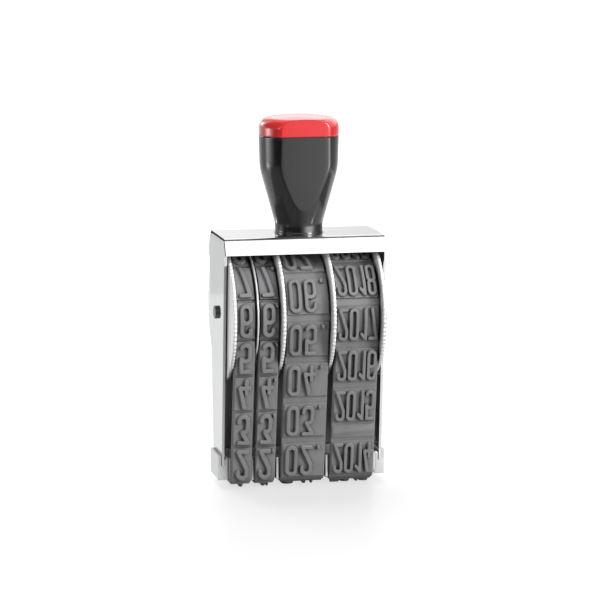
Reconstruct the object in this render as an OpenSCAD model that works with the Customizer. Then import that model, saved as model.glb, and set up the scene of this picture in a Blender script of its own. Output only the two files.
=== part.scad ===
// Hand date stamp: four rubber type bands run over thumbwheel drums on one axle and
// round a platen between two feet. A bent sheet yoke carries the axle and the platen,
// a skirted cover lies on the yoke, and one screw clamps both under the handle.
// The stamp stands on its printing row: z = 0 is the printing plane, +X runs along the
// axle to the year band and -Y faces the user.

/* [Yoke and cover] */
// Head room between the thumb discs and the yoke above them
disc_head_room = 2; // [0.8:0.1:6]
// Sheet thickness of the yoke
yoke_sheet = 1.2; // [0.8:0.1:1.4]
// Outside radius of the yoke bends
yoke_bend_r = 1.8; // [1.6:0.1:3]
// Depth of the yoke walls at the top of the feet
yoke_foot_depth = 21.8; // [18:0.2:26]
// Height of the straight shoulders of the yoke walls below the skirts
yoke_shoulder_h = 5; // [3:0.1:9]
// Step back of the yoke walls below their shoulders
yoke_step = 1.6; // [0.4:0.1:3]
// Sheet thickness of the cover
cover_sheet = 1; // [0.6:0.1:1.5]
// Depth of the flat top of the cover
cover_top_depth = 34.6; // [30:0.2:44]
// Depth of the cover at the lower edge of its skirts
cover_skirt_depth = 42.7; // [38:0.2:54]
// Drop of the skirts below the flat top
cover_skirt_drop = 7.5; // [4:0.1:12]
// Outside radius of the cover bends
cover_bend_r = 2; // [1.6:0.1:4]
// How far each end of the cover stops short of the outside of the yoke
cover_end_inset = 0.5; // [0.3:0.1:2]

/* [Feet and platen] */
// Height of the underside of the feet above the printing plane
foot_lift = 3.6; // [2:0.1:3.9]
// Height of the outer wall of a foot
foot_h = 11.8; // [9:0.1:14]
// Height of the inner block of a foot
foot_block_h = 10.8; // [8:0.1:13]
// Height of the solid sole below the slot of a foot
foot_sole = 6.8; // [4:0.1:7.5]
// Depth of a foot, front to back
foot_depth = 20.7; // [16:0.1:24]
// Thickness of the outer wall of a foot
foot_wall = 1.5; // [1:0.1:3]
// Bevel beside the slot, on the inner block
foot_bevel = 1.1; // [0.4:0.1:1.6]
// Depth of the platen, front to back
platen_depth = 24.4; // [20:0.2:28]
// Height of the top of the platen above the printing plane
platen_top = 14.4; // [12:0.1:18]
// Radius of the lower edges of the platen
platen_edge_r = 2; // [1:0.1:3]
// Thickness of the walls of the platen channel
platen_wall = 2.4; // [1.6:0.1:4]
// Thickness of the floor of the platen channel
platen_floor = 3.4; // [2.5:0.1:5]
// Thickness of the dividers between the bands
divider_t = 1.2; // [0.6:0.1:1.4]
// How far the dividers stand out past the front and back of the platen
divider_reach = 1.2; // [0.5:0.1:2.5]
// Depth of the tenon at each end of the platen
tenon_depth = 12; // [6:0.5:16]
// Length of the tenon at each end of the platen
tenon_l = 1.6; // [0.8:0.1:1.8]
// Height of the tenon at each end of the platen
tenon_h = 2.4; // [1.5:0.1:3]

/* [Wheels and axle] */
// Height of the axle above the printing plane
axle_z = 83.8; // [82:0.1:84]
// Diameter of the axle
axle_d = 8; // [6:0.1:10]
// Diameter of the riveted ends of the axle
axle_end_d = 5; // [3:0.1:5.5]
// Diameter of the rivet heads outside the walls
axle_head_d = 6.2; // [5.8:0.1:8]
// Height of the rivet heads
axle_head_h = 1.3; // [0.6:0.1:1.4]
// Radius over the teeth of a thumb disc
disc_r = 33.2; // [31:0.1:33.8]
// Thickness of a thumb disc
disc_t = 1.5; // [1:0.1:1.8]
// Number of teeth round a thumb disc
disc_teeth = 96; // [60:4:120]
// Depth of the teeth
tooth_h = 0.6; // [0.3:0.05:1]
// Radius of the plain guide disc between the day bands
guide_r = 29; // [27.5:0.1:32]
// Thickness of the guide disc
guide_t = 0.7; // [0.5:0.1:1.2]
// Radius of the drum under a band
drum_r = 24.7; // [23:0.1:25.2]
// Thickness of the drum rim
drum_rim = 2.2; // [1.5:0.1:4]
// Thickness of the web inside a drum
drum_web = 2; // [1.2:0.1:4]
// Outside diameter of the drum hub
hub_d = 18; // [16:0.5:24]
// Diameter of the spigot that carries a thumb disc
spigot_d = 14; // [12:0.5:15.5]
// Thickness of the washer at the left wall
left_washer_t = 0.6; // [0.4:0.1:1.5]
// Outside diameter of the washers on the axle
washer_d = 14; // [12:0.5:20]
// Thickness of the washer at the right wall
right_washer_t = 1; // [0.4:0.1:2]
// Thickness of the wave washer at the right wall
wave_washer_t = 0.8; // [0.5:0.1:1.2]

/* [Bands] */
// Width of each day band
day_band_w = 10.1; // [9:0.1:10.6]
// Width of the month band and of the year band
date_band_w = 21.5; // [19:0.1:22]
// Thickness of the strip that runs all round a band
strip_t = 1.8; // [1.2:0.1:2.4]
// Height of the lands on the strip
land_h = 0.8; // [0.4:0.1:1.2]
// Height of the type above the lands
type_h = 1.4; // [0.8:0.1:1.8]
// Height of a line of type along the band
type_line = 15; // [12:0.1:15.4]
// Margin of the lands inside each edge of the strip
land_margin = 0.35; // [0.2:0.05:0.8]
// Margin of the type inside each edge of the strip
type_margin = 1; // [0.8:0.1:1.5]
// Length of the land under one row of type
land_l = 16.4; // [15.6:0.1:17]
// Rows of type on each day band
day_rows = 14; // [10:1:14]
// Rows of type on the month band and on the year band
date_rows = 12; // [8:1:12]
// Spacing of the rows on the day bands
day_pitch = 18; // [17.4:0.1:18.4]
// Spacing of the rows on the month band and on the year band
date_pitch = 20.4; // [17.4:0.1:20.8]
// How far the printing row of the day bands stands forward of the middle
day_shift = 3.2; // [0:0.1:3.4]
// How far the printing row of the month band stands forward of the middle
month_shift = 1.8; // [0:0.1:3.4]
// How far the printing row of the year band stands forward of the middle
year_shift = 2.1; // [0:0.1:3.4]
// Length of the joint in the year band, between the first and the second row above the printing row
year_joint = 6.3; // [3:0.1:8]

/* [Handle] */
// How far the handle stands to the right of the middle of the cover
handle_x = 0.7; // [0:0.1:2]
// Radius of the turned handle at the seam of the cap
handle_r = 19.15; // [17:0.05:22]
// Depth of the handle between its front and back flats
handle_depth = 30; // [26:0.2:34]
// Distance by which each flat of the grip leans in on its way from the cap to the cover
flat_lean = 2.3; // [0:0.1:3]
// How much smaller the radius of the handle is at the top of the cone than at the seam
grip_taper = 0.4; // [0.1:0.05:1.5]
// Radius of the round neck
neck_r = 11.4; // [10.8:0.1:11.8]
// Height of the straight neck above the cover
neck_h = 5; // [3:0.1:9]
// Radius of the collar at the bottom of the neck
collar_r = 11.6; // [11.5:0.1:12.4]
// Height of the collar
collar_h = 1.2; // [1:0.1:2]
// Height of the cone above the neck
flare_h = 26.4; // [20:0.1:34]
// Height of the grip above the cover, up to the seam of the cap
grip_h = 46.9; // [45:0.1:60]
// Height of the cap above the seam
cap_h = 10; // [9.5:0.1:14]
// Rounding of the shoulder of the cap
cap_round = 5; // [2.5:0.1:5.5]
// Rise of the dome in the top of the cap
cap_dome = 1.2; // [0.2:0.1:2]
// Wall of the cap
cap_wall = 2.2; // [1.6:0.1:3]
// Height of the spigot that carries the cap
cap_spigot_h = 4.4; // [3:0.1:6]
// Width of the dark seam between grip and cap
cap_seam = 0.35; // [0.2:0.05:0.8]
// Thread diameter of the handle screw
screw_d = 6; // [4:0.5:8]
// Head diameter of the handle screw
screw_head_d = 10.5; // [9:0.1:12]
// Head height of the handle screw
screw_head_h = 3; // [2:0.1:3.6]
// Width of the hexagon socket across its corners
screw_socket = 4.6; // [3:0.1:6]
// Depth of the hexagon socket
screw_socket_h = 1.8; // [1:0.1:2]
// Thickness of the washer under the screw head
screw_washer_t = 1.2; // [0.6:0.1:1.6]
// Outside diameter of the washer under the screw head
screw_washer_d = 14; // [12.5:0.5:18]
// Outside diameter of the threaded insert in the grip
insert_d = 10; // [9:0.5:14]
// Length of the threaded insert
insert_l = 16; // [10:0.5:22]

/* [Clearances] */
// Gap between a band and the drum that turns inside it
drum_gap = 0.3; // [0.2:0.05:0.5]
// Gap between a band and the platen that it lies on
seat_gap = 0.1; // [0.05:0.05:0.2]
// Gap between a band and the thumb disc of its own wheel
disc_gap = 0.3; // [0.2:0.05:0.6]
// Gap between an outer band and the foot beside it
foot_gap = 0.35; // [0.2:0.05:0.6]
// Gap between a band and the guide disc
guide_gap = 0.35; // [0.3:0.05:0.6]
// Gap between a band and the thumb disc of the wheel beside it
next_disc_gap = 0.95; // [0.8:0.05:1.4]
// Radial gap of the hubs on the axle
axle_gap = 0.05; // [0.02:0.01:0.1]
// End play between the pieces that turn beside each other
end_play = 0.1; // [0.05:0.05:0.15]
// Gap of pieces that are fitted into each other
fit_gap = 0.05; // [0.02:0.01:0.1]
// Radial gap round the handle screw
screw_gap = 0.25; // [0.1:0.05:0.4]

/* [Hidden] */
$fn = 64;
cut_margin = 1;
arc_steps = 8;
socket_sides = 6;
// Straight lines lie this much inside the tangents of the arcs they join, so that they cross cleanly
tangent_sink = 0.01;

// Stations along the axle, counted from the left wall to the right
disc1_at = left_washer_t + end_play;
band1_at = disc1_at + disc_t + disc_gap;
guide_at = band1_at + day_band_w + guide_gap;
band2_at = guide_at + guide_t + guide_gap;
disc2_at = band2_at + day_band_w + disc_gap;
band3_at = disc2_at + disc_t + next_disc_gap;
disc3_at = band3_at + date_band_w + disc_gap;
band4_at = disc3_at + disc_t + next_disc_gap;
disc4_at = band4_at + date_band_w + disc_gap;
right_washer_at = disc4_at + disc_t + end_play;
right_wall_at = right_washer_at + right_washer_t + wave_washer_t;

// The same stations across the stamp, whose middle is X = 0
wall_inner = right_wall_at / 2;
disc1_x = disc1_at - wall_inner;
band1_x = band1_at - wall_inner;
guide_x = guide_at - wall_inner;
band2_x = band2_at - wall_inner;
disc2_x = disc2_at - wall_inner;
band3_x = band3_at - wall_inner;
disc3_x = disc3_at - wall_inner;
band4_x = band4_at - wall_inner;
disc4_x = disc4_at - wall_inner;
right_washer_x = right_washer_at - wall_inner;
frame_w = right_wall_at + 2 * yoke_sheet;

// Heights of the sheet-metal stack under the handle
web_bottom = axle_z + disc_r + disc_head_room;
web_top = web_bottom + yoke_sheet;
frame_top = web_top + cover_sheet;
skirt_bottom = frame_top - cover_skirt_drop;
skirt_tilt = atan((cover_skirt_depth - cover_top_depth) / 2 / cover_skirt_drop);
// Middle of the cover bends and the direction straight out of a skirt
bend_y = cover_top_depth / 2 - cover_bend_r * tan((90 - skirt_tilt) / 2);
bend_z = frame_top - cover_bend_r + tangent_sink;
skirt_normal = [cos(skirt_tilt), sin(skirt_tilt)];

// Feet
slot_w = yoke_sheet + 2 * fit_gap;
foot_outer = frame_w / 2 + fit_gap + foot_wall;
foot_slot_outer = frame_w / 2 + fit_gap;
foot_slot_inner = foot_slot_outer - slot_w;
foot_inner = -band1_x + foot_gap;
yoke_bottom = foot_lift + foot_sole;

// The loop that the inner face of every band follows, in the plane across the axle
band_t = strip_t + land_h + type_h;
wrap_r = drum_r + drum_gap;
edge_wrap_r = platen_edge_r + seat_gap;
edge_y = platen_depth / 2 - platen_edge_r;
edge_z = band_t + edge_wrap_r - tangent_sink;
platen_bottom = band_t + seat_gap;
axle_rise = axle_z - edge_z;
centre_span = sqrt(edge_y * edge_y + axle_rise * axle_rise);
run_l = sqrt(centre_span * centre_span - (wrap_r - edge_wrap_r) * (wrap_r - edge_wrap_r));
run_tilt = asin((wrap_r - edge_wrap_r) / centre_span) - atan(edge_y / axle_rise);
run_angle = 90 - run_tilt;
// Length of the loop along the middle of the strip, where the rubber keeps its length
mid = strip_t / 2;
edge_arc = (edge_wrap_r + mid) * run_angle * PI / 180;
run_start = edge_y + edge_arc;
wrap_start = run_start + run_l;
loop_l = 2 * wrap_start + (wrap_r + mid) * (180 + 2 * run_tilt) * PI / 180;

// Handle heights
seam_z = frame_top + grip_h;
cap_bottom = seam_z + cap_seam;
cap_spigot_top = seam_z + cap_spigot_h;
cap_top = seam_z + cap_h;

// Turns a shape that was drawn about Z so that it lies about the axle: Z becomes X,
// X points down and Y stays.
module about_axle() {
    rotate([0, 90, 0]) children();
}

// Extrudes an outline drawn in depth (Y) and height (Z) along X, from x0 over the length l.
module along_x(x0, l) {
    translate([x0, 0, 0]) rotate([90, 0, 90]) linear_extrude(l) children();
}

// Extrudes an outline drawn in width (X) and height (Z) along Y, centred on depth d.
module along_y(d) {
    translate([0, d / 2, 0]) rotate([90, 0, 0]) linear_extrude(d) children();
}

// Ring about the axle from x0 over the length l.
module axle_ring(x0, l, r_out, r_in) {
    translate([x0, 0, axle_z]) about_axle() difference() {
        cylinder(r = r_out, h = l);
        translate([0, 0, -cut_margin]) cylinder(r = r_in, h = l + 2 * cut_margin);
    }
}

// Arch outline of a bent sheet: width w, round upper corners r, from height z0 to z1.
module arch(w, z0, z1, r) {
    translate([-w / 2, z0]) square([w, z1 - z0 - r]);
    translate([-w / 2 + r, z0]) square([w - 2 * r, z1 - z0]);
    for (sx = [-1, 1])
        translate([sx * (w / 2 - r), z1 - r]) circle(r);
}

// Solid inside the cover at a distance in from its outside: flat top, bends and skirts, from x0
// over the length l and down to the height z0.
module cover_block(in, x0, l, z0) {
    r = cover_bend_r - in;
    for (s = [-1, 1])
        translate([x0, s * bend_y, bend_z]) about_axle() cylinder(r = r, h = l);
    bend_end = [bend_y, bend_z] + (r - tangent_sink) * skirt_normal;
    drop = bend_end.y - z0;
    half = [[bend_y, frame_top - in], bend_end, [bend_end.x + drop * tan(skirt_tilt), z0]];
    along_x(x0, l) polygon(concat(half, [for (i = [len(half) - 1 : -1 : 0]) [-half[i].x, half[i].y]]));
}

// Outline of the loop at a distance out from the inner face of a band: the wrap over the
// drum, the wraps round the platen edges and the straight runs between them.
module loop_outline(out) {
    translate([0, axle_z]) circle(wrap_r + out);
    for (s = [-1, 1])
        translate([s * edge_y, edge_z]) circle(edge_wrap_r + out);
    normal = [sin(run_angle), -cos(run_angle)];
    wrap_end = [0, axle_z] + (wrap_r + out - tangent_sink) * normal;
    edge_end = [edge_y, edge_z] + (edge_wrap_r + out - tangent_sink) * normal;
    flat_end = [edge_y, edge_z - edge_wrap_r - out + tangent_sink];
    polygon([wrap_end, edge_end, flat_end, [-flat_end.x, flat_end.y], [-edge_end.x, edge_end.y],
        [-wrap_end.x, wrap_end.y]]);
}

// One layer of a band: a loop of thickness t from x0 over the width w.
module loop_layer(x0, w, t) {
    along_x(x0, w) difference() {
        loop_outline(t);
        loop_outline(0);
    }
}

// Puts a shape on the loop at a distance along it from the middle of the platen, up the front.
// The shape's -Z points out of the band and its Z = 0 is the inner face.
module on_front_loop(distance) {
    turned = distance > loop_l / 2 ? distance - loop_l : distance;
    u = abs(turned);
    mirror([0, turned > 0 ? 1 : 0, 0]) {
        if (u <= edge_y)
            translate([0, u, band_t]) children();
        else if (u <= run_start)
            translate([0, edge_y, edge_z])
                rotate([(u - edge_y) / (edge_wrap_r + mid) * 180 / PI, 0, 0])
                    translate([0, 0, -edge_wrap_r]) children();
        else if (u <= wrap_start)
            translate([0, edge_y, edge_z]) rotate([run_angle, 0, 0])
                translate([0, u - run_start, -edge_wrap_r]) children();
        else
            translate([0, 0, axle_z])
                rotate([run_angle + (u - wrap_start) / (wrap_r + mid) * 180 / PI, 0, 0])
                    translate([0, 0, -wrap_r]) children();
    }
}

// The parts of one layer of a band that lie within half the length l of the given places.
module loop_lengths(x0, w, t, places, l) {
    intersection() {
        loop_layer(x0, w, t);
        for (place = places)
            on_front_loop(place) translate([x0 - cut_margin, -l / 2, -t - cut_margin])
                cube([w + 2 * cut_margin, l, t + cut_margin - mid]);
    }
}

// Rubber band of one wheel: a strip all round, a land for each row and the type on it. The
// printing row is shift forward of the middle, and the other rows go on up the front and the
// back; joint is the length of the raised joint in front of the second row above it.
module band(x0, w, rows, pitch, shift, joint) {
    first = 1 - ceil(rows / 2);
    places = [for (i = [0 : rows - 1]) let (row = first + i) row * pitch + shift + (row > 1 ? joint : 0)];
    loop_layer(x0, w, strip_t);
    loop_lengths(x0 + land_margin, w - 2 * land_margin, strip_t + land_h, places, land_l);
    loop_lengths(x0 + type_margin, w - 2 * type_margin, band_t, places, type_line);
    if (joint > 0)
        loop_lengths(x0 + land_margin, w - 2 * land_margin, strip_t + land_h,
            [(places[1 - first] + places[2 - first]) / 2], joint);
}

// Drum of one wheel: rim, web and hub, with the spigot for its thumb disc at one end.
// The hub runs from hub_x over hub_l; the rim runs from rim_x over rim_l.
module drum(hub_x, hub_l, rim_x, rim_l, spigot_right) {
    body_x = spigot_right ? hub_x : hub_x + disc_t;
    bore_r = axle_d / 2 + axle_gap;
    hub_middle_r = (hub_d + axle_d) / 4;
    rim_middle_r = drum_r - drum_rim / 2;
    axle_ring(body_x, hub_l - disc_t, hub_d / 2, bore_r);
    axle_ring(hub_x, hub_l, spigot_d / 2, bore_r);
    axle_ring(rim_x, rim_l, drum_r, drum_r - drum_rim);
    axle_ring(rim_x + (rim_l - drum_web) / 2, drum_web, rim_middle_r, hub_middle_r);
}

// Thumb disc: straight teeth all round and a bore that fits the spigot of its drum.
module thumb_disc(x0) {
    translate([x0, 0, axle_z]) about_axle() difference() {
        linear_extrude(disc_t)
            polygon([for (i = [0 : 2 * disc_teeth - 1])
                let (a = i * 180 / disc_teeth, r = i % 2 == 0 ? disc_r : disc_r - tooth_h)
                    [r * cos(a), r * sin(a)]]);
        translate([0, 0, -cut_margin]) cylinder(d = spigot_d + 2 * fit_gap, h = disc_t + 2 * cut_margin);
    }
}

// Foot at the right-hand end: outer wall, slot for the yoke wall and inner block.
module foot() {
    difference() {
        along_y(foot_depth) polygon([
            [foot_inner, foot_lift],
            [foot_outer, foot_lift],
            [foot_outer, foot_lift + foot_h],
            [foot_slot_outer, foot_lift + foot_h],
            [foot_slot_outer, yoke_bottom],
            [foot_slot_inner, yoke_bottom],
            [foot_slot_inner, foot_lift + foot_block_h - foot_bevel],
            [foot_slot_inner - foot_bevel, foot_lift + foot_block_h],
            [foot_inner, foot_lift + foot_block_h]]);
        translate([0, 0, platen_bottom + platen_floor / 2])
            cube([2 * (foot_inner + tenon_l + fit_gap), tenon_depth + 2 * fit_gap, tenon_h + 2 * fit_gap],
                center = true);
    }
}

// Keeps what lies between the flats of the handle, moved in by inset, from height z0 over h.
// At z0 each flat lies further in by lean.
module between_flats(z0, h, inset, lean) {
    top_y = handle_depth / 2 - inset;
    foot_y = top_y - lean;
    intersection() {
        children();
        translate([-handle_r - cut_margin, 0, 0]) rotate([90, 0, 90])
            linear_extrude(height = 2 * (handle_r + cut_margin))
                polygon([[-foot_y, z0], [foot_y, z0], [top_y, z0 + h], [-top_y, z0 + h]]);
    }
}

// Upright solid inside the handle at a distance in from its outside, from height z0 over h.
module handle_core(z0, h, inset) {
    between_flats(z0, h, inset, 0) translate([0, 0, z0]) cylinder(r = handle_r - inset, h = h);
}

module handle_grip() {
    color("#26272a") translate([handle_x, 0, 0]) difference() {
        union() {
            between_flats(frame_top, grip_h, 0, flat_lean) translate([0, 0, frame_top])
                rotate_extrude() polygon([
                    [0, 0], [collar_r, 0], [collar_r, collar_h - (collar_r - neck_r)], [neck_r, collar_h],
                    [neck_r, neck_h], [handle_r - grip_taper, neck_h + flare_h], [handle_r, grip_h],
                    [0, grip_h]]);
            handle_core(seam_z - cut_margin, cap_spigot_h + cut_margin, cap_wall + fit_gap);
        }
        translate([0, 0, frame_top - cut_margin])
            cylinder(d = insert_d + 2 * fit_gap, h = insert_l + cut_margin + fit_gap);
    }
}

// Half section of the cap: straight wall, round shoulder and shallow dome.
function cap_section() =
    let (crown_r = handle_r - cap_round, shoulder_z = cap_top - cap_dome - cap_round)
    concat([[0, cap_bottom], [handle_r, cap_bottom]],
        [for (i = [0 : arc_steps]) let (a = 90 * i / arc_steps)
            [crown_r + cap_round * cos(a), shoulder_z + cap_round * sin(a)]],
        [for (i = [1 : arc_steps]) let (r = 1 - i / arc_steps)
            [crown_r * r, cap_top - cap_dome * r * r]]);

module handle_cap() {
    color("#d8232b") translate([handle_x, 0, 0]) difference() {
        between_flats(cap_bottom, cap_h, 0, 0) rotate_extrude() polygon(cap_section());
        handle_core(cap_bottom - cut_margin, cap_spigot_top - cap_bottom + cut_margin, cap_wall);
    }
}

module handle_insert() {
    color("#b5934a") translate([handle_x, 0, frame_top]) difference() {
        cylinder(d = insert_d, h = insert_l);
        translate([0, 0, -cut_margin]) cylinder(d = screw_d + 2 * fit_gap, h = insert_l + 2 * cut_margin);
    }
}

module handle_screw() {
    head_top = web_bottom - screw_washer_t;
    color("#9a9da1") translate([handle_x, 0, 0]) difference() {
        union() {
            translate([0, 0, head_top]) cylinder(d = screw_d, h = frame_top + insert_l - head_top);
            translate([0, 0, head_top - screw_head_h]) cylinder(d = screw_head_d, h = screw_head_h);
        }
        translate([0, 0, head_top - screw_head_h - cut_margin])
            cylinder(d = screw_socket, h = screw_socket_h + cut_margin, $fn = socket_sides);
    }
}

module screw_washer() {
    color("#b4b7ba") translate([handle_x, 0, web_bottom - screw_washer_t]) difference() {
        cylinder(d = screw_washer_d, h = screw_washer_t);
        translate([0, 0, -cut_margin])
            cylinder(d = screw_d + 2 * screw_gap, h = screw_washer_t + 2 * cut_margin);
    }
}

module top_cover() {
    end_x = frame_w / 2 - cover_end_inset;
    color("#e6e7e8") difference() {
        cover_block(0, -end_x, 2 * end_x, skirt_bottom);
        cover_block(cover_sheet, -end_x - cut_margin, 2 * (end_x + cut_margin), skirt_bottom - cut_margin);
        translate([handle_x, 0, web_top - cut_margin])
            cylinder(d = screw_d + 2 * screw_gap, h = cover_sheet + 2 * cut_margin);
    }
}

module frame_yoke() {
    bend_inset = cover_sheet + fit_gap;
    bend_end = [bend_y, bend_z] + (cover_bend_r - bend_inset) * skirt_normal;
    shoulder = cover_skirt_depth / 2 - bend_inset / cos(skirt_tilt);
    side = [[yoke_foot_depth / 2, yoke_bottom], [yoke_foot_depth / 2, foot_lift + foot_h],
        [shoulder - yoke_step, skirt_bottom - yoke_shoulder_h], [shoulder, skirt_bottom - yoke_shoulder_h],
        [shoulder, skirt_bottom], bend_end, [bend_y, web_top]];
    color("#d9dadb") difference() {
        intersection() {
            along_y(cover_skirt_depth) difference() {
                arch(frame_w, yoke_bottom, web_top, yoke_bend_r);
                arch(frame_w - 2 * yoke_sheet, yoke_bottom - cut_margin, web_bottom,
                    yoke_bend_r - yoke_sheet);
            }
            along_x(-frame_w / 2 - cut_margin, frame_w + 2 * cut_margin)
                polygon(concat(side, [for (i = [len(side) - 1 : -1 : 0]) [-side[i].x, side[i].y]]));
        }
        translate([-frame_w / 2 - cut_margin, 0, axle_z]) about_axle()
            cylinder(d = axle_end_d, h = frame_w + 2 * cut_margin);
        translate([handle_x, 0, web_bottom - cut_margin])
            cylinder(d = screw_d + 2 * screw_gap, h = yoke_sheet + 2 * cut_margin);
    }
}

module axle() {
    color("#a8abae") translate([0, 0, axle_z]) about_axle() {
        translate([0, 0, -wall_inner]) cylinder(d = axle_d, h = 2 * wall_inner);
        end_x = frame_w / 2 + axle_head_h;
        translate([0, 0, -end_x]) cylinder(d = axle_end_d, h = 2 * end_x);
        for (side = [0, 1])
            mirror([0, 0, side]) translate([0, 0, frame_w / 2 + fit_gap])
                cylinder(d = axle_head_d, h = axle_head_h - fit_gap);
    }
}

module axle_washer_left() {
    color("#b4b7ba") axle_ring(-wall_inner, left_washer_t, washer_d / 2, axle_d / 2 + fit_gap);
}

module axle_washer_right() {
    color("#b4b7ba") axle_ring(right_washer_x, right_washer_t, washer_d / 2, axle_d / 2 + fit_gap);
}

module wave_washer() {
    color("#8d9094")
        axle_ring(wall_inner - wave_washer_t, wave_washer_t, washer_d / 2, axle_d / 2 + fit_gap);
}

module guide_disc() {
    color("#d4d6d8") axle_ring(guide_x, guide_t, guide_r, axle_d / 2 + fit_gap);
}

module drum_day_tens() {
    color("#33353a") drum(disc1_x, guide_x - end_play - disc1_x,
        disc1_x + disc_t, day_band_w + disc_gap, false);
}

module drum_day_units() {
    hub_x = guide_x + guide_t + end_play;
    color("#33353a") drum(hub_x, disc2_x + disc_t - hub_x, band2_x, day_band_w + disc_gap, true);
}

module drum_month() {
    hub_x = disc2_x + disc_t + end_play;
    color("#33353a") drum(hub_x, disc3_x + disc_t - hub_x, band3_x, date_band_w + disc_gap, true);
}

module drum_year() {
    hub_x = disc3_x + disc_t + end_play;
    color("#33353a") drum(hub_x, disc4_x + disc_t - hub_x, band4_x, date_band_w + disc_gap, true);
}

module disc_day_tens() {
    color("#dcdde0") thumb_disc(disc1_x);
}

module disc_day_units() {
    color("#dcdde0") thumb_disc(disc2_x);
}

module disc_month() {
    color("#dcdde0") thumb_disc(disc3_x);
}

module disc_year() {
    color("#dcdde0") thumb_disc(disc4_x);
}

module band_day_tens() {
    color("#7c7d7e") band(band1_x, day_band_w, day_rows, day_pitch, day_shift, 0);
}

module band_day_units() {
    color("#7c7d7e") band(band2_x, day_band_w, day_rows, day_pitch, day_shift, 0);
}

module band_month() {
    color("#7c7d7e") band(band3_x, date_band_w, date_rows, date_pitch, month_shift, 0);
}

module band_year() {
    color("#7c7d7e") band(band4_x, date_band_w, date_rows, date_pitch, year_shift, year_joint);
}

module platen() {
    half = platen_depth / 2;
    reach = half + divider_reach;
    color("#c9cacb") {
        along_x(-foot_inner, 2 * foot_inner) difference() {
            union() {
                translate([-half, platen_bottom + platen_edge_r])
                    square([platen_depth, platen_top - platen_bottom - platen_edge_r]);
                translate([-edge_y, platen_bottom]) square([2 * edge_y, platen_top - platen_bottom]);
                for (s = [-1, 1])
                    translate([s * edge_y, platen_bottom + platen_edge_r]) circle(platen_edge_r);
            }
            translate([-half + platen_wall, platen_bottom + platen_floor])
                square([platen_depth - 2 * platen_wall, platen_top]);
        }
        for (gap = [[band1_x + day_band_w, band2_x], [band2_x + day_band_w, band3_x],
                [band3_x + date_band_w, band4_x]])
            along_x((gap[0] + gap[1] - divider_t) / 2, divider_t)
                translate([-reach, foot_lift]) square([2 * reach, platen_top - foot_lift]);
        translate([0, 0, platen_bottom + platen_floor / 2])
            cube([2 * (foot_inner + tenon_l), tenon_depth, tenon_h], center = true);
    }
}

module foot_left() {
    color("#cfd0d1") mirror([1, 0, 0]) foot();
}

module foot_right() {
    color("#cfd0d1") foot();
}

handle_grip();
handle_cap();
handle_insert();
handle_screw();
screw_washer();
top_cover();
frame_yoke();
axle();
axle_washer_left();
axle_washer_right();
wave_washer();
guide_disc();
drum_day_tens();
drum_day_units();
drum_month();
drum_year();
disc_day_tens();
disc_day_units();
disc_month();
disc_year();
band_day_tens();
band_day_units();
band_month();
band_year();
platen();
foot_left();
foot_right();
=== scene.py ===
"""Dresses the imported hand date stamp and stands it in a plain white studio.

Lengths are millimetres in the stamp's own frame: z = 0 is the printing plane, +X runs along the
axle to the year band and -Y faces the user.
"""
import logging
import math
from dataclasses import dataclass, field
from enum import Enum
from functools import cached_property, lru_cache
from typing import Callable, Sequence

import bpy
import numpy as np
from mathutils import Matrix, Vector
from mathutils.geometry import delaunay_2d_cdt


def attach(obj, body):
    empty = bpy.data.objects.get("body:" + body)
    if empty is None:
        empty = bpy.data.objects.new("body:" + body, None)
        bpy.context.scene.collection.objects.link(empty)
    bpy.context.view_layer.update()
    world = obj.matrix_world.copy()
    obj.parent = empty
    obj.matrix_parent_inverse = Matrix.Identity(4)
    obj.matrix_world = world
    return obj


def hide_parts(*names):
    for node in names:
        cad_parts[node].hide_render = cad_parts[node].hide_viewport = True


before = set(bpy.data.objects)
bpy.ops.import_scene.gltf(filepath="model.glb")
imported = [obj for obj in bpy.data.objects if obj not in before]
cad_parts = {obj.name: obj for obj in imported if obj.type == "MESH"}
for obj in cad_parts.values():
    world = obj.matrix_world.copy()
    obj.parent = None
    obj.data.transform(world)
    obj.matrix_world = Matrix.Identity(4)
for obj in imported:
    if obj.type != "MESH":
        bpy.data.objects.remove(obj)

LOG = logging.getLogger("date_stamp")
MM = 0.001
TINY = 1e-9
FRAME_BODY = "frame"
WHITE = (1.0, 1.0, 1.0)
BLACK = (0.0, 0.0, 0.0)

Point2 = tuple[float, float]
Point3 = tuple[float, float, float]
Colour = tuple[float, float, float]
Strokes = list[list[Point2]]
Face = tuple[int, ...]
Thing = bpy.types.Object
Tree = bpy.types.NodeTree
Array = np.ndarray
Socket = bpy.types.NodeSocket


def add_node(tree: Tree, kind: str, sockets: dict[str | int, object],
             **settings: object) -> bpy.types.Node:
    """Adds a shader node.

    Args:
        tree: Node tree that it goes to.
        kind: Kind of node, without "ShaderNode" in front.
        sockets: For each input, by name or number, its value or the output that is linked to it.
        settings: Properties of the node.

    Returns:
        The node.
    """
    node = tree.nodes.new("ShaderNode" + kind)
    for name, value in settings.items():
        setattr(node, name, value)
    for name, value in sockets.items():
        if isinstance(value, Socket):
            tree.links.new(value, node.inputs[name])
        else:
            node.inputs[name].default_value = value
    return node


def calculate(tree: Tree, operation: str, *terms: object) -> Socket:
    """Adds a calculation with numbers or outputs as its terms, and gives its result."""
    return add_node(tree, "Math", dict(enumerate(terms)), operation=operation).outputs[0]


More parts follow.
